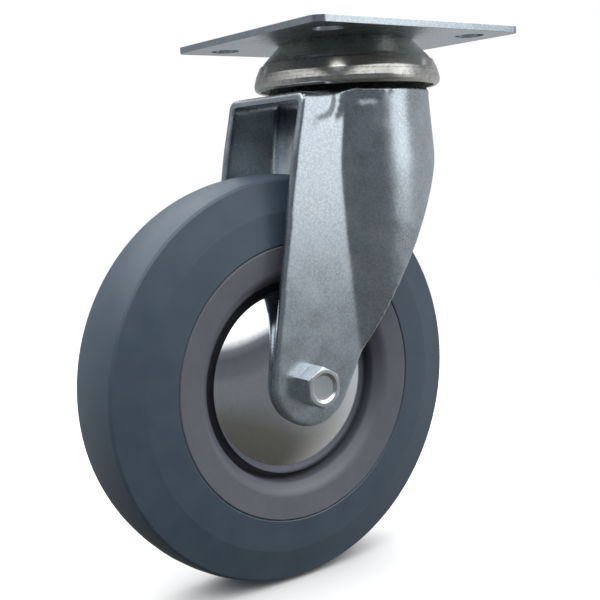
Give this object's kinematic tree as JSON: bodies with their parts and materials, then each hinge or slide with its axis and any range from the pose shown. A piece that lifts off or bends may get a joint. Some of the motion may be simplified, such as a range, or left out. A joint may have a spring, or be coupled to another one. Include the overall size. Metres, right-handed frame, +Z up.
{
  "type": "swivel castor",
  "caption": "Swivel castor with a flat top plate, ball bearing swivel head, pressed steel fork and grey rubber wheel on ball bearings.",
  "frame": {"origin": "centre of the top plate's upper face, on the swivel axis", "axes": "+Z is up along the swivel axis, out of the plate's upper face; the axle lies along Y; the wheel trails towards -X"},
  "size_m": [0.1362, 0.075, 0.1665],
  "materials": {
    "zinc_plate": "bright zinc plated pressed steel, frosted",
    "zinc_cup": "bright zinc plated, drawn, with faint rings",
    "zinc_fork": "bright zinc plated pressed steel, fine spangle",
    "polished_steel": "polished plated thread guard",
    "fastener": "bright zinc plated fastener",
    "race_steel": "ground hardened steel",
    "ball_steel": "polished hardened balls",
    "cage_nylon": "natural nylon",
    "tyre_rubber": "slate grey thermoplastic rubber, satin",
    "centre_plastic": "grey moulded polypropylene, satin"
  },
  "bodies": {
    "plate": {"top_plate": "zinc_plate", "swivel_cup": "zinc_cup", "upper_race": "race_steel", "lower_race": "race_steel", "kingpin": "fastener", "kingpin_nut": "fastener"},
    "race_balls": {"upper_ball_set": "ball_steel", "lower_ball_set": "ball_steel"},
    "fork": {"fork": "zinc_fork", "axle_bolt": "fastener", "axle_washer": "fastener", "axle_nut": "fastener", "axle_sleeve": "race_steel", "thread_guard_near": "polished_steel", "thread_guard_far": "polished_steel", "spacer_washer_near": "race_steel", "spacer_washer_far": "race_steel", "inner_spacer": "race_steel", "bearing_inner_ring_near": "race_steel", "bearing_inner_ring_far": "race_steel"},
    "bearing_balls": {"bearing_balls_near": "ball_steel", "bearing_balls_far": "ball_steel", "bearing_cage_near": "cage_nylon", "bearing_cage_far": "cage_nylon"},
    "wheel": {"tyre": "tyre_rubber", "wheel_centre": "centre_plastic", "bearing_outer_ring_near": "race_steel", "bearing_outer_ring_far": "race_steel", "bearing_shields_near": "race_steel", "bearing_shields_far": "race_steel"}
  },
  "joints": [
    {"name": "swivel", "type": "hinge", "parent": "plate", "child": "fork", "pos_m": [0, 0, 0], "axis": [0, 0, 1], "continuous": true},
    {"name": "race_balls_turn", "type": "hinge", "parent": "plate", "child": "race_balls", "pos_m": [0, 0, 0], "axis": [0, 0, 1], "continuous": true},
    {"name": "wheel_spin", "type": "hinge", "parent": "fork", "child": "wheel", "pos_m": [-0.0337, 0, -0.104], "axis": [0, 1, 0], "continuous": true},
    {"name": "bearing_balls_turn", "type": "hinge", "parent": "fork", "child": "bearing_balls", "pos_m": [-0.0337, 0, -0.104], "axis": [0, 1, 0], "continuous": true}
  ],
  "couplings": [
    {"joint": "race_balls_turn", "follows": "swivel", "ratio": 0.5},
    {"joint": "bearing_balls_turn", "follows": "wheel_spin", "ratio": 0.6184}
  ]
}
